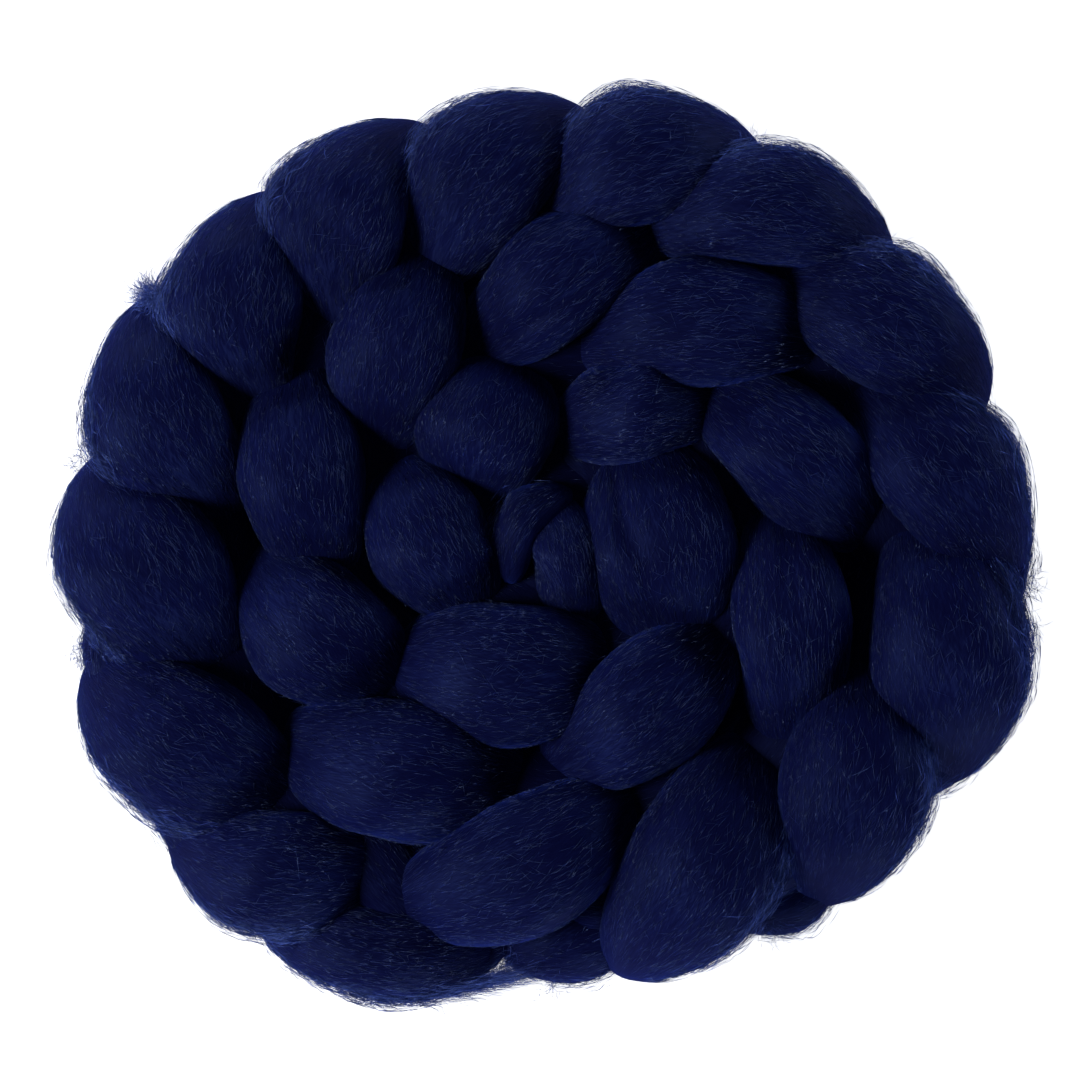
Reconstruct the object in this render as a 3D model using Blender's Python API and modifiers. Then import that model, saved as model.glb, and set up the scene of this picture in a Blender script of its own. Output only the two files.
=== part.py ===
"""A braid of combed wool top, chain-plaited in one strand and coiled flat.

The braid stands on edge in its coil, so that each stitch of the chain shows one
leg above and one leg below, with its neck strand between them in the middle and
its back strand on the coil's outer side.  Everything is one long strand of wool,
so it is one solid.  Origin: bottom centre, +Z up.
"""
import math
from collections import namedtuple

import bmesh
import bpy
from mathutils import Vector

# Driving dimensions, in metres.
MM = 0.001
HEIGHT = 55 * MM            # two legs, one above the other
LEG_HALF_THICKNESS = 14 * MM
LEG_DIVE = 14.5 * MM        # how far both ends of a leg dive to the middle
DIVE_CURVE = 2.6            # the higher, the flatter the leg is at its crown
LEG_REACH = 1.1             # share of its row's length that a leg has, tips included
LEG_FULLNESS = 1.7          # 2 is an ellipse, less has sharper tips
STRAND_FULLNESS = 2.1       # the same for necks, backs and ends
SECTION_POWER = 0.8         # 1 is an ellipse across the strand, less is boxier
BEND_BALANCE = 0.4          # share of the bend that the leg's middle takes
TAIL_HALF_THICKNESS = 12 * MM
NECK_HALF_LENGTH = 28 * MM  # strand through the middle of the chain
NECK_HALF_WIDTH = 23 * MM
NECK_HALF_HEIGHT = 12 * MM
NECK_INSET = 7 * MM         # the necks lie nearer to the coil's inner side
BACK_HALF_LENGTH = 20 * MM  # strand on the outer side, between two legs
BACK_HALF_WIDTH = 11 * MM
BACK_HALF_HEIGHT = 11 * MM
FOOT_SINK = 1.2 * MM        # depth that each lower leg is pressed flat
CENTRE_SHIFT = Vector((-0.25, -0.1, 0)) * MM   # puts the origin under the middle
FUSE_STEP = 2.2 * MM        # grid on which the strand's turns are fused
CREASE_SOFTNESS = 0.5
KEPT_FACES = 0.10           # share of the fused faces that the solid keeps
ROUND_FACES = 28            # faces round a strand before fusing
LONG_FACES = 20

# One row per stitch, from the outer end of the braid to the middle of the coil.
# x, y: middle of the leg; heading: way that the leg runs, in degrees from +X;
# length, width: half sizes; lift: crown above the common height; bend: bow to
# the coil's outer side; back: reach of the back strand that follows, 0 if the
# next turn hides it.  All but the heading in millimetres.
Stitch = namedtuple("Stitch", "name x y heading length width lift bend back")
STITCHES = [
    Stitch("end", -38.5, -94.5, 175, 27.5, 11, -9, 4.5, 16),
    Stitch("outer_01", -63.5, -75, 172, 24.5, 15.5, -2, 4.5, 18),
    Stitch("outer_02", -84.5, -46, 148, 27.5, 18, 0, 3.5, 20),
    Stitch("outer_03", -93, -6, 120, 28, 19, 0, 3.5, 18),
    Stitch("outer_04", -88, 30.5, 110, 27, 16.5, 0, 8, 18),
    Stitch("outer_05", -70.5, 57, 90, 25, 16, 0, 9, 12),
    Stitch("outer_06", -45, 76.5, 70, 25.5, 16.5, 0, 10, 13),
    Stitch("outer_07", -13, 85.5, 48, 26, 16.5, 0, 8, 14),
    Stitch("outer_08", 22, 88, 22, 27, 15.5, 0, 9, 13),
    Stitch("outer_09", 51.5, 76.5, -4, 29, 14, 0, 8, 15),
    Stitch("outer_10", 79.5, 51, -28, 28, 15.5, 0, 6, 17),
    Stitch("outer_11", 93, 17, -52, 29.5, 16, 0, 4, 21),
    Stitch("outer_12", 94, -23.5, -86, 30.5, 19, 0, 3.5, 21),
    Stitch("outer_13", 72, -55, -100, 28.5, 17.5, 0, 3.5, 18),
    Stitch("outer_14", 35.5, -74.5, -120, 30, 18, 1, 3.5, 18),
    Stitch("middle_01", -6, -74.5, -154, 30.5, 16.5, 1.5, 3.5, 0),
    Stitch("middle_02", -34.5, -52, 172, 29, 17, 1, 3.5, 0),
    Stitch("middle_03", -53.5, -19, 138, 23.5, 16.5, 0, 2.5, 0),
    Stitch("middle_04", -56.5, 17, 98, 26.5, 15, 0, 2.5, 0),
    Stitch("middle_05", -34.5, 47, 75, 25, 15.5, 0, 2.5, 0),
    Stitch("middle_06", 4, 62.5, 36, 26.5, 14.5, 0, 2.5, 0),
    Stitch("middle_07", 36.5, 51, 2, 29.5, 15, 1, 5, 0),
    Stitch("middle_08", 58, 21, -42, 26.5, 15, 0.5, 2.5, 0),
    Stitch("middle_09", 57.5, -18.5, -86, 29, 14, 0, 1.5, 0),
    Stitch("inner_01", 23.5, -37.5, -142, 26.5, 15.5, 0.5, 2, 0),
    Stitch("inner_02", -10, -29.5, 178, 26.5, 17.5, 0.5, 2, 0),
    Stitch("inner_03", -27, 1.5, 118, 21, 14.5, 0, 1.5, 0),
    Stitch("inner_04", -13.5, 28, 72, 17.5, 17, -1, 1.5, 0),
    Stitch("inner_05", 21.5, 31.5, 12, 21, 12.5, -2, 1.5, 0),
    Stitch("inner_06", 27, 1, -80, 25, 18.5, -0.5, 0, 0),
    Stitch("start", 5, -2.8, -75, 17, 8.8, -2.5, 1, 0),
]

# The strand's own ends: its tail, tucked low under the outer turn where the
# braid ends, and its tip, curled round the left of the start.
Tail = namedtuple("Tail", "name x y heading length width crown bend")
TAIL = [
    Tail("tail_01", 57, -78, 215, 19.5, 12, 33.5, 2),
    Tail("tail_02", 9.5, -90, 203, 21, 12, 36, 2),
    Tail("tail_03", -40, -76, -50, 20, 10, 41, 0),
    Tail("tip", -4.2, 4.2, 56, 13.5, 7, 50.5, 4.5),
]


def heading_vector(degrees):
    """Unit vector in the plan, turned from +X towards +Y."""
    angle = math.radians(degrees)
    return Vector((math.cos(angle), math.sin(angle), 0))


def add_lobe(strand, middle, heading, half, bend=0.0, dive=0.0, fullness=STRAND_FULLNESS):
    """Add a closed spindle of wool to the strand's bmesh.

    half holds its half length, half width and half height.  It bows by bend to
    its left, and both of its ends sink by dive.
    """
    along_axis = heading_vector(heading)
    left_axis = heading_vector(heading + 90)
    length, width, height = half
    lobe = bmesh.new()
    bmesh.ops.create_uvsphere(lobe, u_segments=ROUND_FACES, v_segments=LONG_FACES, radius=1)
    for vert in lobe.verts:
        along = max(-1.0, min(1.0, vert.co.z))
        around = math.atan2(vert.co.y, vert.co.x)
        side = math.copysign(abs(math.cos(around)) ** SECTION_POWER, math.cos(around))
        up = math.copysign(abs(math.sin(around)) ** SECTION_POWER, math.sin(around))
        full = max(0.0, 1 - abs(along) ** fullness) ** 0.5
        bow = bend * (BEND_BALANCE - along**2)
        place = middle + along_axis * (along * length)
        place += left_axis * (bow + side * width * full)
        place.z += up * height * full - dive * abs(along) ** DIVE_CURVE
        vert.co = place
    mesh = bpy.data.meshes.new("lobe")
    lobe.to_mesh(mesh)
    lobe.free()
    strand.from_mesh(mesh)
    bpy.data.meshes.remove(mesh)


def add_legs(strand, stitch):
    """The upper leg of a stitch, and the lower one that lies on the table."""
    half = (stitch.length * LEG_REACH * MM, stitch.width * MM, LEG_HALF_THICKNESS)
    bend = stitch.bend * MM
    crown = HEIGHT + stitch.lift * MM
    upper = Vector((stitch.x * MM, stitch.y * MM, crown - LEG_HALF_THICKNESS))
    lower = Vector((stitch.x * MM, stitch.y * MM, LEG_HALF_THICKNESS - FOOT_SINK))
    add_lobe(strand, upper, stitch.heading, half, bend, LEG_DIVE, LEG_FULLNESS)
    add_lobe(strand, lower, stitch.heading, half, bend, -LEG_DIVE, LEG_FULLNESS)


def add_neck(strand, before, stitch, after):
    """The strand that runs through the middle of the chain at a stitch."""
    turn = math.degrees(math.atan2(after.y - before.y, after.x - before.x))
    middle = Vector((stitch.x * MM, stitch.y * MM, HEIGHT / 2))
    middle -= heading_vector(turn + 90) * NECK_INSET
    half = (NECK_HALF_LENGTH, NECK_HALF_WIDTH, NECK_HALF_HEIGHT)
    add_lobe(strand, middle, turn, half)


def add_back(strand, stitch, after):
    """The strand on the outer side, in the notch between two stitches."""
    turn = math.degrees(math.atan2(after.y - stitch.y, after.x - stitch.x))
    middle = Vector((stitch.x + after.x, stitch.y + after.y, 0)) * MM / 2
    middle += heading_vector(turn + 90) * (stitch.back * MM - BACK_HALF_WIDTH)
    middle.z = HEIGHT / 2
    half = (BACK_HALF_LENGTH, BACK_HALF_WIDTH, BACK_HALF_HEIGHT)
    add_lobe(strand, middle, turn, half)


def add_tail(strand, tail):
    """A stretch of the tail, lying lower than the legs."""
    height = tail.crown * MM - TAIL_HALF_THICKNESS
    middle = Vector((tail.x * MM, tail.y * MM, height))
    half = (tail.length * MM, tail.width * MM, TAIL_HALF_THICKNESS)
    add_lobe(strand, middle, tail.heading, half, tail.bend * MM)


def build_strand_mesh():
    """All turns of the strand in one mesh, still overlapping each other."""
    strand = bmesh.new()
    for row, stitch in enumerate(STITCHES):
        after = STITCHES[min(row + 1, len(STITCHES) - 1)]
        add_legs(strand, stitch)
        if row > 0:  # the chain's free end has no neck
            add_neck(strand, STITCHES[row - 1], stitch, after)
        if stitch.back:
            add_back(strand, stitch, after)
    for tail in TAIL:
        add_tail(strand, tail)
    bmesh.ops.translate(strand, verts=strand.verts, vec=CENTRE_SHIFT)
    mesh = bpy.data.meshes.new("chained_roving")
    strand.to_mesh(mesh)
    strand.free()
    return mesh


def wool_material():
    """Deep navy dyed wool with a soft satin shine."""
    material = bpy.data.materials.new("navy_wool")
    material.use_nodes = True
    shader = material.node_tree.nodes["Principled BSDF"]
    shader.inputs["Base Color"].default_value = (0.006, 0.010, 0.085, 1)
    shader.inputs["Roughness"].default_value = 0.6
    shader.inputs["Metallic"].default_value = 0.0
    material.diffuse_color = (0.006, 0.010, 0.085, 1)
    return material


def make_floor_cutter(collection):
    """A slab below z = 0 that presses the lower legs flat."""
    size = HEIGHT * 8
    bpy.ops.mesh.primitive_cube_add(size=size, location=(0, 0, -size / 2))
    cutter = bpy.context.active_object
    cutter.name = "floor_cutter"
    for owner in list(cutter.users_collection):
        owner.objects.unlink(cutter)
    collection.objects.link(cutter)
    cutter.hide_render = True
    cutter.display_type = "WIRE"
    return cutter


def make_roving(collection, cutter):
    """The wound braid: turns fused, thinned to few faces, and cut at the floor."""
    roving = bpy.data.objects.new("chained_roving", build_strand_mesh())
    collection.objects.link(roving)
    roving.data.materials.append(wool_material())
    fuse = roving.modifiers.new("fuse turns", "REMESH")
    fuse.mode = "VOXEL"
    fuse.voxel_size = FUSE_STEP
    fuse.use_smooth_shade = True
    soften = roving.modifiers.new("soften creases", "SMOOTH")
    soften.factor = CREASE_SOFTNESS
    soften.iterations = 2
    thin = roving.modifiers.new("fewer faces", "DECIMATE")
    thin.decimate_type = "COLLAPSE"
    thin.ratio = KEPT_FACES
    foot = roving.modifiers.new("flat foot", "BOOLEAN")
    foot.operation = "DIFFERENCE"
    foot.solver = "EXACT"
    foot.object = cutter
    return roving


for old in list(bpy.data.objects):
    bpy.data.objects.remove(old, do_unlink=True)

parts = bpy.data.collections.new("wool_roving")
cutters = bpy.data.collections.new("cutters")
bpy.context.scene.collection.children.link(parts)
bpy.context.scene.collection.children.link(cutters)
make_roving(parts, make_floor_cutter(cutters))
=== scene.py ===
"""A braid of combed navy wool, chain-plaited in one strand and coiled flat."""
import math
from collections import namedtuple

import bmesh
import bpy
import numpy as np
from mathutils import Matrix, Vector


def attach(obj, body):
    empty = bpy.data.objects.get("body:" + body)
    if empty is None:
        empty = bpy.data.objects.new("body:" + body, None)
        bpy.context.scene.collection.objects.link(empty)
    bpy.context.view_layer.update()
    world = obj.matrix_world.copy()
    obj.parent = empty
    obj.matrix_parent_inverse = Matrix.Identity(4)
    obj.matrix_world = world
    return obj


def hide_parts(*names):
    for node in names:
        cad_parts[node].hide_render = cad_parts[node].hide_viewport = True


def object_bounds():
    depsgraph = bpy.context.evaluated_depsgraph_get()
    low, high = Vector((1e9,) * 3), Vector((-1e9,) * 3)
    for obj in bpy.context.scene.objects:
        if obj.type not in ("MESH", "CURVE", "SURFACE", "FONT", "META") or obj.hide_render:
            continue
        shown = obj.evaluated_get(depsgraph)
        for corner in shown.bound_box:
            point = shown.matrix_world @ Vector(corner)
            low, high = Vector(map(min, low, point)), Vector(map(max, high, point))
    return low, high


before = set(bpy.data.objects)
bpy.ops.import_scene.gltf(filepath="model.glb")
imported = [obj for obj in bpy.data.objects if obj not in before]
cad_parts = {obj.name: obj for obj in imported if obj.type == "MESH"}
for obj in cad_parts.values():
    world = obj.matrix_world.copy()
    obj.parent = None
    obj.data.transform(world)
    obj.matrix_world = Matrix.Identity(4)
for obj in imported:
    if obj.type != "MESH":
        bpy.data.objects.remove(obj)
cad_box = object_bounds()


# ---------------------------------------------------------------- studio
# The braid lies on a white table and is photographed from straight above with
# a long lens.  A soft box at the left grazes the fibres, a weak one above fills,
# and low lamps all round give the coil's rim its blue glow.
MM = 0.001
PHOTO_PIXELS = 1080
PIXEL = 0.2359 * MM              # one photo pixel at the height of the lobes
LOBE_HEIGHT = 41 * MM            # height at which that scale holds
CAMERA_HEIGHT = 2.0
SENSOR = 36.0
CENTRE_SHIFT = np.array((-0.25, -0.1, 0)) * MM   # of the braid, as in the solid
PHOTO_CENTRE = np.array((-1.2, 1.4, 0)) * MM + CENTRE_SHIFT

scene = bpy.context.scene
camera_data = bpy.data.cameras.new("camera")
camera_data.sensor_width = SENSOR
camera_data.lens = SENSOR * (CAMERA_HEIGHT - LOBE_HEIGHT) / (PHOTO_PIXELS * PIXEL)
camera_data.clip_start = 0.05
camera_data.clip_end = 20
camera = bpy.data.objects.new("camera", camera_data)
camera.location = (PHOTO_CENTRE[0], PHOTO_CENTRE[1], CAMERA_HEIGHT)
scene.collection.objects.link(camera)
scene.camera = camera
scene.view_settings.view_transform = "Standard"


class Wire:
    """An output socket of a node, so that shader maths reads as Python."""

    def __init__(self, tree, socket):
        self.tree = tree
        self.socket = socket

    def maths(self, operation, first, second):
        """A Math node on two wires, or on a wire and a number."""
        node = self.tree.nodes.new("ShaderNodeMath")
        node.operation = operation
        for place, value in enumerate((first, second)):
            if isinstance(value, Wire):
                self.tree.links.new(value.socket, node.inputs[place])
            else:
                node.inputs[place].default_value = value
        return Wire(self.tree, node.outputs[0])

    def __add__(self, other):
        return self.maths("ADD", self, other)

    def __radd__(self, other):
        return self.maths("ADD", other, self)

    def __sub__(self, other):
        return self.maths("SUBTRACT", self, other)

    def __rsub__(self, other):
        return self.maths("SUBTRACT", other, self)

    def __mul__(self, other):
        return self.maths("MULTIPLY", self, other)

    def __rmul__(self, other):
        return self.maths("MULTIPLY", other, self)


class Finish:
    """A material with a Principled shader, and one method that adds nodes."""

    def __init__(self, name):
        self.material = bpy.data.materials.new(name)
        self.material.use_nodes = True
        self.tree = self.material.node_tree
        self.shader = self.tree.nodes["Principled BSDF"]

    def put(self, socket, value):
        """Links a wire to a socket, or sets the socket to a plain value."""
        if isinstance(value, Wire):
            self.tree.links.new(value.socket, socket)
        else:
            socket.default_value = value

    def node(self, kind, settings=None, out=0, **values):
        """A new node's output.  Its settings are set first, then its sockets."""
        node = self.tree.nodes.new(kind)
        for setting, value in (settings or {}).items():
            if setting == "stops":
                ramp = node.color_ramp
                while len(ramp.elements) < len(value):
                    ramp.elements.new(0.5)
                for element, (place, colour) in zip(ramp.elements, value):
                    element.position = place
                    element.color = colour
            else:
                setattr(node, setting, value)
        for name, value in values.items():
            self.put(node.inputs[name], value)
        return Wire(self.tree, node.outputs[out])

    def finish(self, **values):
        """The material, with these values or wires on its shader's sockets."""
        for name, value in values.items():
            self.put(self.shader.inputs[name.replace("_", " ")], value)
        return self.material


WHITE = (1, 1, 1, 1)
TABLE_PAINT = (0.93, 0.93, 0.93, 1)
BACKDROP_GLOW = 0.95             # of the table and the room, which show as white
TABLE_SIZE = 6.0
TABLE_TOP = -0.2 * MM            # just under the pressed feet, which lie at 0

table_finish = Finish("white_table")
table_grain = table_finish.node("ShaderNodeTexNoise", Scale=60.0, Detail=3.0)
table_white = table_finish.finish(
    Base_Color=TABLE_PAINT,
    Roughness=table_grain * 0.1 + 0.7,
    Emission_Color=WHITE,
    Emission_Strength=BACKDROP_GLOW,
)
table_mesh = bmesh.new()
bmesh.ops.create_grid(table_mesh, x_segments=4, y_segments=4, size=TABLE_SIZE / 2)
bmesh.ops.translate(table_mesh, verts=table_mesh.verts, vec=(0, 0, TABLE_TOP))
table_data = bpy.data.meshes.new("table")
table_mesh.to_mesh(table_data)
table_mesh.free()
table = bpy.data.objects.new("table", table_data)
table_data.materials.append(table_white)
table.visible_glossy = False     # its light reaches the wool, its mirror image not
scene.collection.objects.link(table)

world = bpy.data.worlds.new("white_room")
world.use_nodes = True
background = world.node_tree.nodes["Background"]
background.inputs["Color"].default_value = WHITE
background.inputs["Strength"].default_value = BACKDROP_GLOW
world.cycles_visibility.diffuse = False      # the camera sees it, the wool doesn't
world.cycles_visibility.glossy = False
scene.world = world


def soft_lamp(name, place, size, watts, colour=(1, 1, 1)):
    """A square soft box that looks at the middle of the braid."""
    data = bpy.data.lights.new(name, "AREA")
    data.size = size
    data.energy = watts
    data.color = colour
    lamp = bpy.data.objects.new(name, data)
    lamp.location = place
    distance = math.hypot(place[0], place[1])
    lamp.rotation_euler = (
        math.atan2(distance, place[2]),
        0,
        math.atan2(place[0], -place[1]),
    )
    scene.collection.objects.link(lamp)


RIM_DISTANCE = 1.2
RIM_HEIGHT = 0.12
RIM_LIGHT = (0.5, 0.65, 1.0)
soft_lamp("key", place=(-1.1, -0.25, 1.0), size=0.5, watts=13.0)
soft_lamp("overhead", place=(0.0, 0.1, 1.7), size=0.8, watts=0.8)
for degrees in (20, 110, 200, 290):
    rim_x = RIM_DISTANCE * math.cos(math.radians(degrees))
    rim_y = RIM_DISTANCE * math.sin(math.radians(degrees))
    soft_lamp("rim", (rim_x, rim_y, RIM_HEIGHT), size=0.5, watts=6.0, colour=RIM_LIGHT)


# ------------------------------------------------------------ upper legs
# Each stitch of the chain shows one plump leg of the strand on top, an arch
# that dives under its neighbours at both ends.  Combed wool: the fibres run
# along the leg, furrowed where the next stitch pinches them.
HEIGHT = 55 * MM                 # of the crowns over the table
LEG_HALF_THICKNESS = 14 * MM
LEG_DIVE = 14.5 * MM             # how far a leg's ends go down
DIVE_CURVE = 2.6
LEG_REACH = 1.1                  # of the stitch's half length
LEG_FULLNESS = 1.7               # a lower number makes more pointed ends
STRAND_FULLNESS = 2.1            # of necks, backs and ends
SECTION_POWER = 0.8              # 1 is an ellipse, less is squarer
BEND_BALANCE = 0.4               # keeps a bowed lobe centred on its place

FURROW_COUNT = 14
FURROWS_ROUND = (7, 30)          # waves round a lobe, at least and below
FURROW_DRIFT = 1.2               # in radians, from a lobe's middle to its end
FURROW_FALL = 0.6                # finer furrows are shallower
FURROW_DEPTH = 0.22 * MM
FURROW_IN_MIDDLE = 0.15          # share of the depth left between the pinches
SWELL_COUNT = 5
SWELLS_ROUND = (1, 4)
SWELLS_ALONG = (1, 3.5)
SWELL_HEIGHT = 0.35 * MM
STRAND_SPACING = 0.07            # between two lobes in the space of the streaks

# One row per stitch, from the outer end of the braid to the middle of the coil,
# as in the solid: place, heading in degrees, half length and width, crown above
# the common height, bow outwards, reach of the back strand.  In millimetres.
Stitch = namedtuple("Stitch", "name x y heading length width lift bend back")
STITCHES = [
    Stitch("end", -38.5, -94.5, 175, 27.5, 11, -9, 4.5, 16),
    Stitch("outer_01", -63.5, -75, 172, 24.5, 15.5, -2, 4.5, 18),
    Stitch("outer_02", -84.5, -46, 148, 27.5, 18, 0, 3.5, 20),
    Stitch("outer_03", -93, -6, 120, 28, 19, 0, 3.5, 18),
    Stitch("outer_04", -88, 30.5, 110, 27, 16.5, 0, 8, 18),
    Stitch("outer_05", -70.5, 57, 90, 25, 16, 0, 9, 12),
    Stitch("outer_06", -45, 76.5, 70, 25.5, 16.5, 0, 10, 13),
    Stitch("outer_07", -13, 85.5, 48, 26, 16.5, 0, 8, 14),
    Stitch("outer_08", 22, 88, 22, 27, 15.5, 0, 9, 13),
    Stitch("outer_09", 51.5, 76.5, -4, 29, 14, 0, 8, 15),
    Stitch("outer_10", 79.5, 51, -28, 28, 15.5, 0, 6, 17),
    Stitch("outer_11", 93, 17, -52, 29.5, 16, 0, 4, 21),
    Stitch("outer_12", 94, -23.5, -86, 30.5, 19, 0, 3.5, 21),
    Stitch("outer_13", 72, -55, -100, 28.5, 17.5, 0, 3.5, 18),
    Stitch("outer_14", 35.5, -74.5, -120, 30, 18, 1, 3.5, 18),
    Stitch("middle_01", -6, -74.5, -154, 30.5, 16.5, 1.5, 3.5, 0),
    Stitch("middle_02", -34.5, -52, 172, 29, 17, 1, 3.5, 0),
    Stitch("middle_03", -53.5, -19, 138, 23.5, 16.5, 0, 2.5, 0),
    Stitch("middle_04", -56.5, 17, 98, 26.5, 15, 0, 2.5, 0),
    Stitch("middle_05", -34.5, 47, 75, 25, 15.5, 0, 2.5, 0),
    Stitch("middle_06", 4, 62.5, 36, 26.5, 14.5, 0, 2.5, 0),
    Stitch("middle_07", 36.5, 51, 2, 29.5, 15, 1, 5, 0),
    Stitch("middle_08", 58, 21, -42, 26.5, 15, 0.5, 2.5, 0),
    Stitch("middle_09", 57.5, -18.5, -86, 29, 14, 0, 1.5, 0),
    Stitch("inner_01", 23.5, -37.5, -142, 26.5, 15.5, 0.5, 2, 0),
    Stitch("inner_02", -10, -29.5, 178, 26.5, 17.5, 0.5, 2, 0),
    Stitch("inner_03", -27, 1.5, 118, 21, 14.5, 0, 1.5, 0),
    Stitch("inner_04", -13.5, 28, 72, 17.5, 17, -1, 1.5, 0),
    Stitch("inner_05", 21.5, 31.5, 12, 21, 12.5, -2, 1.5, 0),
    Stitch("inner_06", 27, 1, -80, 25, 18.5, -0.5, 0, 0),
    Stitch("start", 5, -2.8, -75, 17, 8.8, -2.5, 1, 0),
]


def flat_vector(degrees):
    """Unit vector in the plan, turned from +X towards +Y."""
    angle = math.radians(degrees)
    return np.array((math.cos(angle), math.sin(angle), 0.0))


class Lobe:
    """A spindle of combed wool, bowed to its left, with ends that dive.

    A place on it is given by along, from -1 to 1, and around, an angle from its
    left over its top.
    """

    def __init__(self, middle, heading, half, bend=0.0, dive=0.0, seed=0, folds=()):
        self.middle = np.array(middle) + CENTRE_SHIFT
        self.along_axis = flat_vector(heading)
        self.left_axis = flat_vector(heading + 90)
        self.length, self.width, self.height = half
        self.bend = bend
        self.dive = dive
        self.fullness = LEG_FULLNESS if dive else STRAND_FULLNESS
        self.folds = folds
        self.seed = seed
        draw = np.random.default_rng(seed)
        self.furrows = []
        for wave in draw.integers(*FURROWS_ROUND, FURROW_COUNT):
            phase = draw.uniform(0, 2 * math.pi)
            drift = draw.normal(0, FURROW_DRIFT)
            self.furrows.append((wave, phase, drift, wave**-FURROW_FALL))
        self.swells = []
        for _ in range(SWELL_COUNT):
            turns = draw.integers(*SWELLS_ROUND)
            waves = draw.uniform(*SWELLS_ALONG)
            self.swells.append((turns, waves, draw.uniform(0, 2 * math.pi)))

    def height_of_wool(self, along, around):
        """How far the wool stands proud of the plain spindle, in metres."""
        furrow = np.zeros_like(along)
        for wave, phase, drift, share in self.furrows:
            furrow += share * np.sin(wave * around + phase + drift * along)
        swell = np.zeros_like(along)
        for turns, waves, phase in self.swells:
            swell += np.sin(turns * around + waves * along * 2 + phase)
        pinch = FURROW_IN_MIDDLE + (1 - FURROW_IN_MIDDLE) * np.abs(along) ** 2
        grown = FURROW_DEPTH * pinch * furrow + SWELL_HEIGHT * swell
        for fold in self.folds:
            share = np.clip((along - fold.start) / (fold.end - fold.start), 0, 1)
            line = fold.left_at_start + (fold.left_at_end - fold.left_at_start) * share
            aside = (np.cos(around) * self.width - line * MM) / (fold.width * MM)
            lengthwise = np.sin(share * math.pi) ** 0.5
            trough = fold.depth * MM * np.exp(-(aside**2)) * lengthwise
            grown = grown - trough * (np.sin(around) > 0)
        smooth_tips = 1 - along**8
        return grown * smooth_tips

    def points(self, along, around, proud=0.0):
        """Places on the lobe, proud metres outside its surface."""
        full = np.maximum(0.0, 1 - np.abs(along) ** self.fullness) ** 0.5
        side = np.copysign(np.abs(np.cos(around)) ** SECTION_POWER, np.cos(around))
        up = np.copysign(np.abs(np.sin(around)) ** SECTION_POWER, np.sin(around))
        reach = self.height_of_wool(along, around) + proud
        slope_power = 2 - SECTION_POWER
        tilt_side = np.copysign(np.abs(np.cos(around)) ** slope_power, side) / self.width
        tilt_up = np.copysign(np.abs(np.sin(around)) ** slope_power, up) / self.height
        steep = np.hypot(tilt_side, tilt_up)
        bow = self.bend * (BEND_BALANCE - along**2)
        out_side = bow + side * self.width * full + reach * tilt_side / steep * full
        out_up = up * self.height * full + reach * tilt_up / steep * full
        place = self.middle + np.multiply.outer(along * self.length, self.along_axis)
        place = place + np.multiply.outer(out_side, self.left_axis)
        place[..., 2] += out_up - self.dive * np.abs(along) ** DIVE_CURVE
        return place

    def fibre_space(self, along, around):
        """The wool rolled out flat: X across the fibres, Z along, Y its own number."""
        flat = np.empty(along.shape + (3,))
        from_top = (around - math.pi / 2 + math.pi) % (2 * math.pi) - math.pi
        flat[..., 0] = from_top * (self.width + self.height) / 2
        flat[..., 1] = self.seed * STRAND_SPACING
        flat[..., 2] = along * self.length
        return flat


def unit_spindle(round_faces, long_faces):
    """A sphere of radius 1 as a mesh, with where its points lie on a lobe."""
    ball = bmesh.new()
    bmesh.ops.create_uvsphere(ball, u_segments=round_faces, v_segments=long_faces, radius=1)
    mesh = bpy.data.meshes.new("spindle")
    ball.to_mesh(mesh)
    ball.free()
    places = np.empty(len(mesh.vertices) * 3)
    mesh.vertices.foreach_get("co", places)
    places = places.reshape(-1, 3)
    along = np.clip(places[:, 2], -1, 1)
    around = np.arctan2(places[:, 1], places[:, 0])
    return mesh, along, around


cad_floor = cad_box[0][2]


def join_lobes(name, lobes, spindle, material):
    """One piece from several lobes, pressed flat at the table.

    The fibre space is kept as an attribute, for the streaks of the wool.
    """
    mesh, along, around = spindle
    joined = bmesh.new()
    for lobe in lobes:
        copy = mesh.copy()
        points = lobe.points(along, around)
        points[:, 2] = np.maximum(points[:, 2], cad_floor)
        copy.vertices.foreach_set("co", points.ravel())
        space = copy.attributes.new("fibre_space", "FLOAT_VECTOR", "POINT")
        space.data.foreach_set("vector", lobe.fibre_space(along, around).ravel())
        joined.from_mesh(copy)
        bpy.data.meshes.remove(copy)
    data = bpy.data.meshes.new(name)
    joined.to_mesh(data)
    joined.free()
    data.shade_smooth()
    data.materials.append(material)
    piece = bpy.data.objects.new(name, data)
    scene.collection.objects.link(piece)
    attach(piece, "root")
    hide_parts("chained_roving")


# The shine of the dyed fibres: bluer than the wool's own colour, and soft.
SATIN = {
    "IOR": 1.45,
    "Specular_IOR_Level": 0.08,
    "Specular_Tint": (0.26, 0.42, 1.0, 1),
    "Sheen_Weight": 0.3,
    "Sheen_Roughness": 0.4,
    "Sheen_Tint": (0.05, 0.11, 0.9, 1),
}


FIBRE_RELIEF = 0.3 * MM
TONE_MIDDLE = 0.2                # taken off, so that the tone lies round a half


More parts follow.
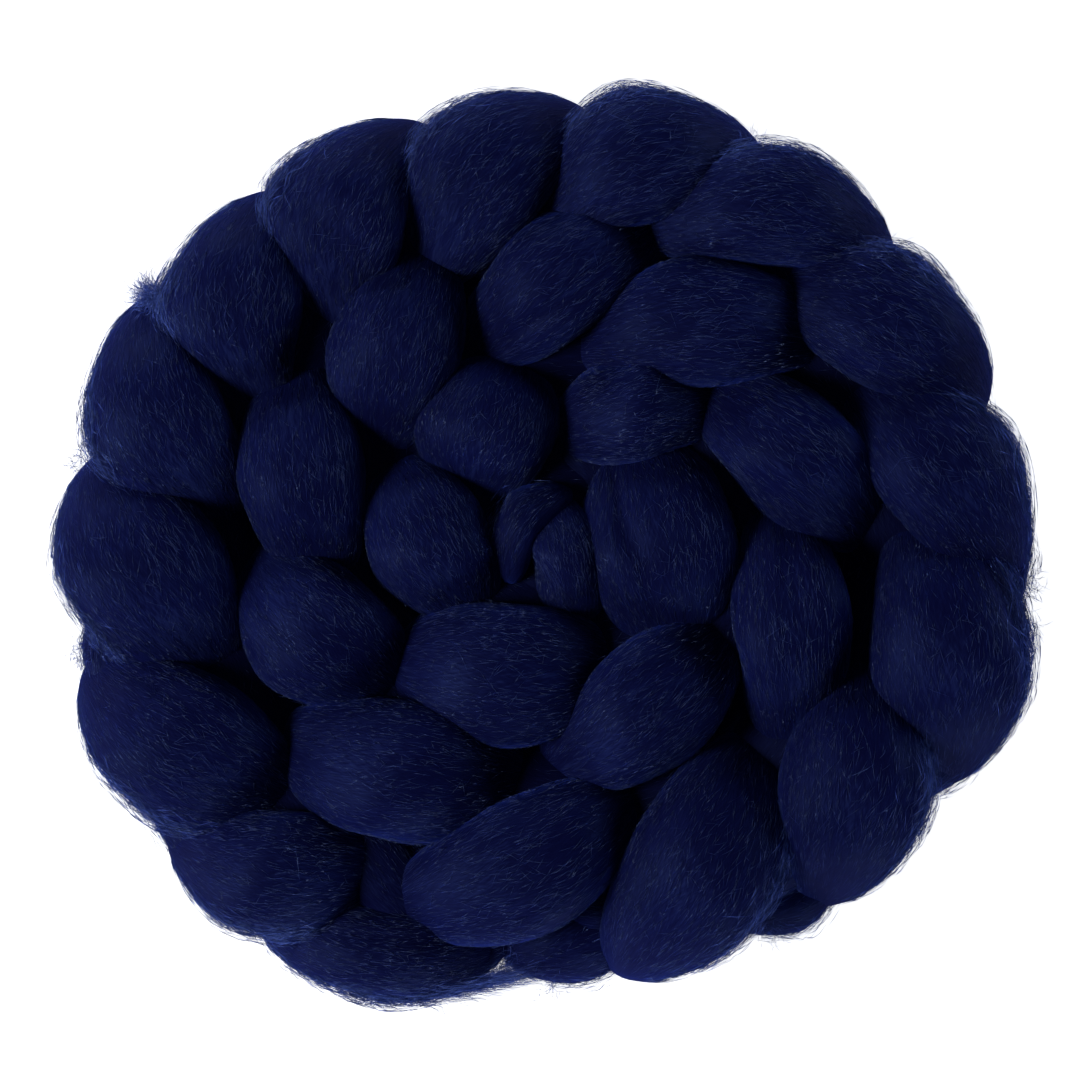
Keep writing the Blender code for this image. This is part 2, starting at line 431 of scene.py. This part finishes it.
def combed_wool(name, dark, middle, light):
    """Dyed wool: fine crossing streaks along the fibres, with a satin shine."""
    wool = Finish(name)
    space = wool.node("ShaderNodeAttribute", {"attribute_name": "fibre_space"}, out=1)
    across = wool.node("ShaderNodeSeparateXYZ", out=0, Vector=space)
    number = wool.node("ShaderNodeSeparateXYZ", out=1, Vector=space)
    along = wool.node("ShaderNodeSeparateXYZ", out=2, Vector=space)

    def streak(width, length, slant, detail):
        """Noise drawn out near the fibres' way; width and length in millimetres."""
        turned = (across + along * slant) * (1 / (width * MM))
        drawn_out = along * (1 / (length * MM))
        place = wool.node("ShaderNodeCombineXYZ", X=turned, Y=number, Z=drawn_out)
        return wool.node("ShaderNodeTexNoise", Vector=place, Scale=1.0, Detail=detail)

    fibres = streak(width=0.34, length=3.4, slant=0.14, detail=2.0)
    crossing = streak(width=0.40, length=2.8, slant=-0.20, detail=2.0)
    locks = streak(width=1.7, length=16, slant=0.03, detail=2.0)
    patches = streak(width=11, length=17, slant=0.1, detail=1.0)
    tone = fibres * 0.5 + crossing * 0.4 + locks * 0.2 + patches * 0.3 - TONE_MIDDLE
    stops = [(0.40, dark), (0.54, middle), (0.68, light)]
    colour = wool.node("ShaderNodeValToRGB", {"stops": stops}, Fac=tone)
    relief = fibres * 0.5 + crossing * 0.5 + locks * 0.25
    normal = wool.node("ShaderNodeBump", Strength=0.8, Distance=FIBRE_RELIEF, Height=relief)
    return wool.finish(
        Base_Color=colour,
        Roughness=0.55 - 0.15 * fibres,
        Normal=normal,
        **SATIN,
    )


NAVY_DARK = (0.0033, 0.0040, 0.036, 1)
NAVY = (0.0046, 0.0063, 0.048, 1)
NAVY_LIGHT = (0.0105, 0.0158, 0.080, 1)
wool_surface = combed_wool("combed_wool", NAVY_DARK, NAVY, NAVY_LIGHT)


# Where a leg is folded lengthwise: how far left of its middle the fold starts
# and ends, between which shares of its half length, and its depth and width.
# In millimetres, apart from the shares.
Fold = namedtuple("Fold", "name left_at_start left_at_end start end depth width")
FOLDS = [
    Fold("middle_06", -3.6, -5.1, -0.85, 0.35, 1.9, 1.7),
    Fold("inner_06", -10.5, -4.8, -0.85, 0.15, 2.2, 2.2),
    Fold("inner_06", -2.5, -4.5, -0.2, 0.8, 0.8, 1.9),
    Fold("outer_12", 11.5, 18.0, -0.75, 0.3, 1.5, 2.0),
    Fold("outer_08", -6.0, -8.0, -0.9, -0.1, 1.0, 2.2),
    Fold("outer_11", 4.0, 2.0, -0.9, 0.1, 0.8, 2.4),
    Fold("middle_01", 7.0, 9.0, 0.1, 0.9, 1.0, 2.2),
    Fold("middle_09", 1.5, 0.5, -0.9, -0.1, 0.9, 1.8),
    Fold("inner_01", -4.0, -5.5, -0.8, 0.2, 0.8, 2.0),
    Fold("middle_03", 5.0, 3.5, -0.1, 0.9, 0.9, 2.0),
    Fold("outer_02", -7.0, -9.0, -0.2, 0.9, 0.9, 2.4),
    Fold("outer_13", 9.0, 12.0, -0.8, 0.4, 0.9, 2.2),
    Fold("end", -3.0, -4.0, -0.7, 0.6, 1.0, 2.0),
]


def upper_leg(row):
    """The leg of a stitch that shows on top, with the folds it has."""
    stitch = STITCHES[row]
    crown = HEIGHT + stitch.lift * MM
    middle = (stitch.x * MM, stitch.y * MM, crown - LEG_HALF_THICKNESS)
    half = (stitch.length * LEG_REACH * MM, stitch.width * MM, LEG_HALF_THICKNESS)
    folds = [fold for fold in FOLDS if fold.name == stitch.name]
    return Lobe(middle, stitch.heading, half, stitch.bend * MM, LEG_DIVE, row, folds)


OUTER_STITCHES = 15              # in the outer turn, with the braid's outer end
upper_spindle = unit_spindle(round_faces=60, long_faces=34)
upper_legs = [upper_leg(row) for row in range(len(STITCHES))]
outer_legs = upper_legs[:OUTER_STITCHES]
inner_legs = upper_legs[OUTER_STITCHES:]
join_lobes("upper_legs_outer_turn", outer_legs, upper_spindle, wool_surface)
join_lobes("upper_legs_inner_turns", inner_legs, upper_spindle, wool_surface)


# ------------------------------------------------------------ lower legs
# The other half of each stitch, the same arch turned over.  It carries the
# braid, so its belly is pressed flat where it lies on the table.
FOOT_SINK = 1.2 * MM             # what the table presses in


def lower_leg(row):
    """The leg of a stitch that lies on the table."""
    stitch = STITCHES[row]
    middle = (stitch.x * MM, stitch.y * MM, LEG_HALF_THICKNESS - FOOT_SINK)
    half = (stitch.length * LEG_REACH * MM, stitch.width * MM, LEG_HALF_THICKNESS)
    return Lobe(middle, stitch.heading, half, stitch.bend * MM, -LEG_DIVE, seed=100 + row)


lower_spindle = unit_spindle(round_faces=36, long_faces=18)
lower_legs = [lower_leg(row) for row in range(len(STITCHES))]
join_lobes("lower_legs", lower_legs, lower_spindle, wool_surface)


# -------------------------------------------- neck, back and end strands
# The rest of the chain: the neck strand through the middle of each stitch and the
# back strand in each notch of the outer turn.  The strand's two ends are the tail
# tucked under the outer turn, and the tip curled in the middle of the coil.
NECK_HALF = (28 * MM, 23 * MM, 12 * MM)
NECK_INSET = 7 * MM
BACK_HALF = (20 * MM, 11 * MM, 11 * MM)
END_HALF_THICKNESS = 12 * MM
EndStrand = namedtuple("EndStrand", "name x y heading length width crown bend")
END_STRANDS = [
    EndStrand("tail_01", 57, -78, 215, 19.5, 12, 33.5, 2),
    EndStrand("tail_02", 9.5, -90, 203, 21, 12, 36, 2),
    EndStrand("tail_03", -40, -76, -50, 20, 10, 41, 0),
    EndStrand("tip", -4.2, 4.2, 56, 13.5, 7, 50.5, 4.5),
]


def neck_strand(row):
    """The strand through the middle of the chain, inside a stitch."""
    stitch = STITCHES[row]
    before = STITCHES[row - 1]
    after = STITCHES[min(row + 1, len(STITCHES) - 1)]
    turn = math.degrees(math.atan2(after.y - before.y, after.x - before.x))
    middle = np.array((stitch.x * MM, stitch.y * MM, HEIGHT / 2))
    middle = middle - flat_vector(turn + 90) * NECK_INSET
    return Lobe(middle, turn, NECK_HALF, seed=200 + row)


def back_strand(row):
    """The strand in the notch between a stitch and the next, at the rim."""
    stitch = STITCHES[row]
    after = STITCHES[row + 1]
    turn = math.degrees(math.atan2(after.y - stitch.y, after.x - stitch.x))
    middle = np.array((stitch.x + after.x, stitch.y + after.y, 0)) * MM / 2
    middle = middle + flat_vector(turn + 90) * (stitch.back * MM - BACK_HALF[1])
    middle[2] = HEIGHT / 2
    return Lobe(middle, turn, BACK_HALF, seed=300 + row)


def end_strand(row):
    """A length of the strand's tail, or its tip."""
    end = END_STRANDS[row]
    middle = (end.x * MM, end.y * MM, end.crown * MM - END_HALF_THICKNESS)
    half = (end.length * MM, end.width * MM, END_HALF_THICKNESS)
    return Lobe(middle, end.heading, half, end.bend * MM, seed=400 + row)


# Painted shade: the neck strands lie deep in the crevices between the turns, and their wool
# is coloured darker than the rest of the braid to stand in for the shade that falls there.
PAINTED_SHADE_CORE_DARK = (0.0028, 0.0033, 0.028, 1)
PAINTED_SHADE_CORE_LIGHT = (0.0050, 0.0072, 0.050, 1)
painted_shade_core_surface = combed_wool("wool_with_painted_core_shade", PAINTED_SHADE_CORE_DARK, PAINTED_SHADE_CORE_DARK, PAINTED_SHADE_CORE_LIGHT)
strand_spindle = unit_spindle(round_faces=30, long_faces=16)
necks = [neck_strand(row) for row in range(1, len(STITCHES))]
backs = [back_strand(row) for row, stitch in enumerate(STITCHES) if stitch.back]
ends = [end_strand(row) for row in range(len(END_STRANDS))]
join_lobes("neck_strands", necks, strand_spindle, painted_shade_core_surface)
join_lobes("back_and_end_strands", backs + ends, strand_spindle, wool_surface)


# --------------------------------------------------------- surface fibres
# Combed top is all loose fibre: fine hairs lie along each lobe, crossing a
# little.  Most slip back into the wool at both ends, and some stand off it.
HAIR_SIDES = 3
HAIR_RINGS = 2
HAIR_CLEARANCE = 0.1 * MM            # of a hair's middle line over the table
HAIR_SHARE = np.linspace(0, 1, HAIR_RINGS + 1)[None, :]     # along each hair


def share_of_length(along):
    """Share of a hair's length at each point of its mesh, from 0 to 1."""
    return 1 - np.arccos(np.clip(along, -1, 1)) / math.pi


def tile_mesh(name, mesh, corners):
    """Copies of a small mesh, one for each row of corners, as one mesh.

    There are too many hairs to copy them one by one.
    """
    count, points = corners.shape[:2]
    loops = len(mesh.loops)
    faces = len(mesh.polygons)
    corner_index = np.empty(loops, dtype=np.int32)
    mesh.loops.foreach_get("vertex_index", corner_index)
    face_start = np.empty(faces, dtype=np.int32)
    mesh.polygons.foreach_get("loop_start", face_start)
    tiled = bpy.data.meshes.new(name)
    tiled.vertices.add(count * points)
    tiled.loops.add(count * loops)
    tiled.polygons.add(count * faces)
    step = np.arange(count, dtype=np.int32)[:, None]
    tiled.vertices.foreach_set("co", corners.astype(np.float32).ravel())
    tiled.loops.foreach_set("vertex_index", (corner_index + step * points).ravel())
    tiled.polygons.foreach_set("loop_start", (face_start + step * loops).ravel())
    tiled.update(calc_edges=True)
    tiled.validate()
    return tiled


def hair_piece(name, paths, radii, shades, material):
    """One mesh of closed, tapered hairs.  paths: hairs, points along, xyz."""
    mesh, along, around = unit_spindle(HAIR_SIDES, HAIR_RINGS)
    paths[..., 2] = np.maximum(paths[..., 2], cad_floor + HAIR_CLEARANCE)
    point = np.rint(share_of_length(along) * HAIR_RINGS).astype(int)
    centre = paths[:, point]
    ahead = np.gradient(paths, axis=1)[:, point]
    ahead /= np.linalg.norm(ahead, axis=2, keepdims=True) + 1e-12
    across = np.cross(ahead, (0.0, 0.0, 1.0))
    across /= np.linalg.norm(across, axis=2, keepdims=True) + 1e-12
    over = np.cross(across, ahead)
    thick = np.sqrt(np.maximum(0.0, 1 - along**2))[None, :, None]
    thick = thick * radii[:, None, None]
    roll = np.random.default_rng(len(paths)).uniform(0, 2 * math.pi, (len(paths), 1))
    turn = (roll + around)[..., None]
    corners = centre + thick * (across * np.cos(turn) + over * np.sin(turn))
    joined = tile_mesh(name, mesh, corners)
    attribute = joined.attributes.new("shade", "FLOAT", "POINT")
    attribute.data.foreach_set("value", np.repeat(shades, len(along)))
    joined.materials.append(material)            # flat facets glint like fibres
    piece = bpy.data.objects.new(name, joined)
    scene.collection.objects.link(piece)
    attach(piece, "root")


LYING_REACH = 0.93               # how near a lobe's ends its hairs lie
LYING_HALF_LENGTH = (1.0, 3.2)   # in millimetres, as the next two
LYING_BULGE = 0.09
LYING_SINK = 0.03                # of a hair's two ends
LYING_SLANT = 0.05               # of most hairs, in radians round the lobe
STRAY_SLANT = 0.3                # cubed, so that only a few hairs stray
LOOSE_SHARE = 0.16               # of the hairs, those with a free end
LOOSE_RISE = 0.42                # usual height of that end, in millimetres
LOOSE_CURVE = 1.6


def surface_hairs(lobe, count, low, high, draw):
    """Paths of hairs on a lobe, between two angles round it."""
    middle = draw.uniform(-LYING_REACH, LYING_REACH, (count, 1))
    half = draw.uniform(*LYING_HALF_LENGTH, (count, 1)) * MM / lobe.length
    along = np.clip(middle + half * (2 * HAIR_SHARE - 1), -0.985, 0.985)
    start = draw.uniform(low, high, (count, 1))
    slant = draw.normal(0, LYING_SLANT, (count, 1))
    slant = slant + draw.normal(0, STRAY_SLANT, (count, 1)) ** 3
    around = start + slant * (HAIR_SHARE - 0.5)
    lying = LYING_BULGE * MM * np.sin(HAIR_SHARE * math.pi) - LYING_SINK * MM
    rise = draw.exponential(LOOSE_RISE, (count, 1)) * MM * HAIR_SHARE**LOOSE_CURVE
    loose = draw.uniform(0, 1, (count, 1)) < LOOSE_SHARE
    return lobe.points(along, around, lying + rise * loose)


FIBRE_SHINE = {
    **SATIN,
    "IOR": 1.8,
    "Specular_IOR_Level": 1.0,
    "Specular_Tint": (0.38, 0.52, 0.95, 1),
}


def loose_fibre(name, dark, light):
    """Single dyed fibres: each has its own shade, and a brighter shine."""
    fibre = Finish(name)
    shade = fibre.node("ShaderNodeAttribute", {"attribute_name": "shade"}, out=2)
    stops = [(0.0, dark), (0.35, NAVY), (0.7, NAVY_LIGHT), (1.0, light)]
    colour = fibre.node("ShaderNodeValToRGB", {"stops": stops}, Fac=shade)
    return fibre.finish(Base_Color=colour, Roughness=0.42 - 0.1 * shade, **FIBRE_SHINE)


FIBRE_LIGHT = (0.022, 0.033, 0.094, 1)
hair_finish = loose_fibre("wool_hairs", NAVY_DARK, FIBRE_LIGHT)
FIBRE_RADIUS = (0.035, 0.06)     # in millimetres
SHADE_CURVE = 1.4                # above 1 most hairs are dark


def coat(name, lobes, count, side, seed):
    """The hairs of a group of lobes as one piece."""
    draw = np.random.default_rng(seed)
    paths = np.concatenate([surface_hairs(lobe, count, *side, draw) for lobe in lobes])
    radii = draw.uniform(*FIBRE_RADIUS, len(paths)) * MM
    shades = draw.uniform(0, 1, len(paths)) ** SHADE_CURVE
    hair_piece(name, paths, radii, shades, hair_finish)


UPPER_SIDE = (-0.12 * math.pi, 1.12 * math.pi)
OUTER_SIDE = (-0.6 * math.pi, 0.6 * math.pi)
OUTER_COUNT = 2150               # hairs on each lobe
INNER_COUNT = 1900
coat("fibres_outer_turn_a", outer_legs[:8], OUTER_COUNT, UPPER_SIDE, seed=11)
coat("fibres_outer_turn_b", outer_legs[8:], OUTER_COUNT, UPPER_SIDE, seed=12)
coat("fibres_inner_turns_a", inner_legs[:8], INNER_COUNT, UPPER_SIDE, seed=13)
coat("fibres_inner_turns_b", inner_legs[8:], INNER_COUNT, UPPER_SIDE, seed=14)
coat("fibres_lower_legs", lower_legs[:OUTER_STITCHES], 400, OUTER_SIDE, seed=15)
coat("fibres_back_strands", backs + ends, 600, OUTER_SIDE, seed=16)
coat("fibres_neck_strands", necks, 350, UPPER_SIDE, seed=17)


# ------------------------------------------------------------------- fuzz
# The coil's rim is soft: short fibres stand off the outer side of the turn, and
# a few wisps hang out of the notches between its lobes.
# Painted glow: the rim fuzz, the wisps and the feathered end are coloured a brighter blue
# than the wool, to stand in for the table's light shining through them.
PAINTED_RIM_GLOW_BLUE = (0.085, 0.140, 0.560, 1)
painted_glow_finish = loose_fibre("wool_hairs_with_painted_rim_glow", NAVY, PAINTED_RIM_GLOW_BLUE)
FUZZ_SPREAD = 0.42               # round a lobe's middle, of its half length
FUZZ_HALF_LENGTH = (1.2, 3.2)    # in millimetres
FUZZ_FROM_SIDE = (-0.03, 0.11)   # mean and spread round the lobe, in half turns
FUZZ_SLANT = 0.16
FUZZ_LIFT = 0.9                  # in millimetres, as the next two
FUZZ_TILT = 0.8
FUZZ_LIMIT = 3
FUZZ_RADIUS = (0.05, 0.085)


def rim_hairs(lobe, count, draw):
    """Fibres on a lobe's outer side, with both of their ends free."""
    middle = np.clip(draw.normal(0, FUZZ_SPREAD, (count, 1)), -0.9, 0.9)
    half = draw.uniform(*FUZZ_HALF_LENGTH, (count, 1)) * MM / lobe.length
    along = np.clip(middle + half * (2 * HAIR_SHARE - 1), -0.99, 0.99)
    start = draw.normal(*FUZZ_FROM_SIDE, (count, 1)) * math.pi
    around = start + draw.normal(0, FUZZ_SLANT, (count, 1)) * (HAIR_SHARE - 0.5)
    lift = draw.exponential(FUZZ_LIFT, (count, 1))
    tilt = draw.normal(0, FUZZ_TILT, (count, 1)) * (HAIR_SHARE - 0.5)
    return lobe.points(along, around, np.clip(lift + tilt, 0, FUZZ_LIMIT) * MM)


draw = np.random.default_rng(21)
rim_lobes = [(lobe, 1750) for lobe in outer_legs] + [(lobe, 250) for lobe in backs + ends]
rim_paths = np.concatenate([rim_hairs(lobe, count, draw) for lobe, count in rim_lobes])
rim_radii = draw.uniform(*FUZZ_RADIUS, len(rim_paths)) * MM
# Painted glow: shades drawn from the light end, so the rim fuzz is coloured brighter.
rim_shades = draw.uniform(0.4, 1, len(rim_paths))
hair_piece("rim_fuzz", rim_paths, rim_radii, rim_shades, painted_glow_finish)

# The wisps: where each starts and how far its fibres reach, in millimetres, and
# which way they go and how far they spread, in degrees.
Wisp = namedtuple("Wisp", "name x y z heading spread count length")
WISPS = [
    Wisp("left_top_notch", -92.5, 58.5, 36, 130, 60, 900, 6.5),
    Wisp("top_notch", -25, 91, 34, 120, 50, 60, 3),
    Wisp("right_top_notch", 48, 94, 40, 55, 45, 120, 3.5),
    Wisp("upper_right_notch", 81, 70, 38, 30, 45, 90, 3),
    Wisp("right_notch", 113, -9, 36, -50, 40, 150, 4.5),
    Wisp("right_rim", 113.5, -18, 36, -80, 35, 170, 5),
    Wisp("lower_right_notch", 92, -55, 32, -30, 50, 110, 3.5),
    Wisp("bottom_notch", 54, -91, 32, -60, 50, 80, 3.5),
    Wisp("tail_notch", 2, -103, 28, -120, 50, 110, 3.5),
    Wisp("end_notch", -9.5, -98.5, 24, -15, 60, 320, 5),
    Wisp("outer_end", -34, -106.5, 8, -2, 4, 30, 17),
    Wisp("left_bottom_notch", -88, -66, 28, 200, 50, 90, 3),
    Wisp("left_notch", -109, -25, 36, 200, 50, 110, 3.5),
    Wisp("left_upper_notch", -109.5, 20, 38, 160, 50, 130, 3.5),
]


WISP_CURL = 0.5                  # in radians, over a whole fibre
WISP_SCATTER = np.array((1.6, 1.6, 4)) * MM
WISP_SLOPE = 0.25
WISP_RADIUS = (0.04, 0.07)       # in millimetres


def wisp_hairs(wisp, draw):
    """Curled fibres that leave one place in nearly the same direction."""
    count = wisp.count
    turn = np.radians(wisp.heading + draw.normal(0, wisp.spread, (count, 1)))
    bend = draw.normal(0, WISP_CURL, (count, 1)) * HAIR_SHARE
    reach = draw.uniform(0.35, 1, (count, 1)) * wisp.length * MM * HAIR_SHARE
    root = np.array((wisp.x, wisp.y, wisp.z)) * MM + CENTRE_SHIFT
    scatter = draw.normal(0, 1, (count, 3)) * WISP_SCATTER
    paths = (root + scatter)[:, None, :] + np.zeros((1, HAIR_SHARE.shape[1], 1))
    paths[..., 0] += reach * np.cos(turn + bend)
    paths[..., 1] += reach * np.sin(turn + bend)
    paths[..., 2] += draw.normal(0, WISP_SLOPE, (count, 1)) * reach
    return paths


wisp_paths = np.concatenate([wisp_hairs(wisp, draw) for wisp in WISPS])
wisp_radii = draw.uniform(*WISP_RADIUS, len(wisp_paths)) * MM
# Painted glow: shades drawn from the light end, so the wisps are coloured brighter.
wisp_shades = draw.uniform(0.6, 1, len(wisp_paths))
hair_piece("wisps", wisp_paths, wisp_radii, wisp_shades, painted_glow_finish)


# ------------------------------------------------------- feathered outer end
# The strand's outer end isn't tied: it thins out along the foot of the last
# stitch into a veil of combed fibres.  In millimetres and degrees.
FEATHER_COUNT = 3000
FEATHER_START = (-40, -106.5)
FEATHER_LENGTH = 40
FEATHER_RISE = 7                 # towards +Y, at the end of that length
FEATHER_SCATTER = 1.1
FEATHER_HEIGHT = (22, 8)         # mean and spread
FEATHER_HEADING = -2
FEATHER_TURN = 12                # over the length
FEATHER_SPREAD = 7
FEATHER_CURL = (0.05, 0.12)      # mean and spread, in radians
FEATHER_REACH = (3, 10)


def feather_hairs(draw):
    """Fibres along the last stitch's outer side, thinning out beyond its end."""
    one_each = (FEATHER_COUNT, 1)
    share = draw.beta(2.0, 2.4, one_each)
    aside = FEATHER_RISE * share**2 + draw.normal(0, FEATHER_SCATTER, one_each)
    root = np.empty((FEATHER_COUNT, 3))
    root[:, 0:1] = FEATHER_START[0] + FEATHER_LENGTH * share
    root[:, 1:2] = FEATHER_START[1] + aside
    root[:, 2:3] = np.clip(draw.normal(*FEATHER_HEIGHT, one_each), 2, 44)
    heading = FEATHER_HEADING + FEATHER_TURN * share
    turn = np.radians(heading + draw.normal(0, FEATHER_SPREAD, one_each))
    bend = draw.normal(*FEATHER_CURL, one_each) * HAIR_SHARE
    reach = draw.uniform(*FEATHER_REACH, one_each) * HAIR_SHARE
    paths = root[:, None, :] + np.zeros((1, HAIR_SHARE.shape[1], 1))
    paths[..., 0] += reach * np.cos(turn + bend)
    paths[..., 1] += reach * np.sin(turn + bend)
    return paths * MM + CENTRE_SHIFT


draw = np.random.default_rng(31)
feather_paths = feather_hairs(draw)
feather_radii = draw.uniform(*FIBRE_RADIUS, FEATHER_COUNT) * MM
# Painted glow: shades drawn from the light end, so the thin veil is coloured brighter.
feather_shades = draw.uniform(0.7, 1, FEATHER_COUNT)
hair_piece("feathered_end", feather_paths, feather_radii, feather_shades, painted_glow_finish)
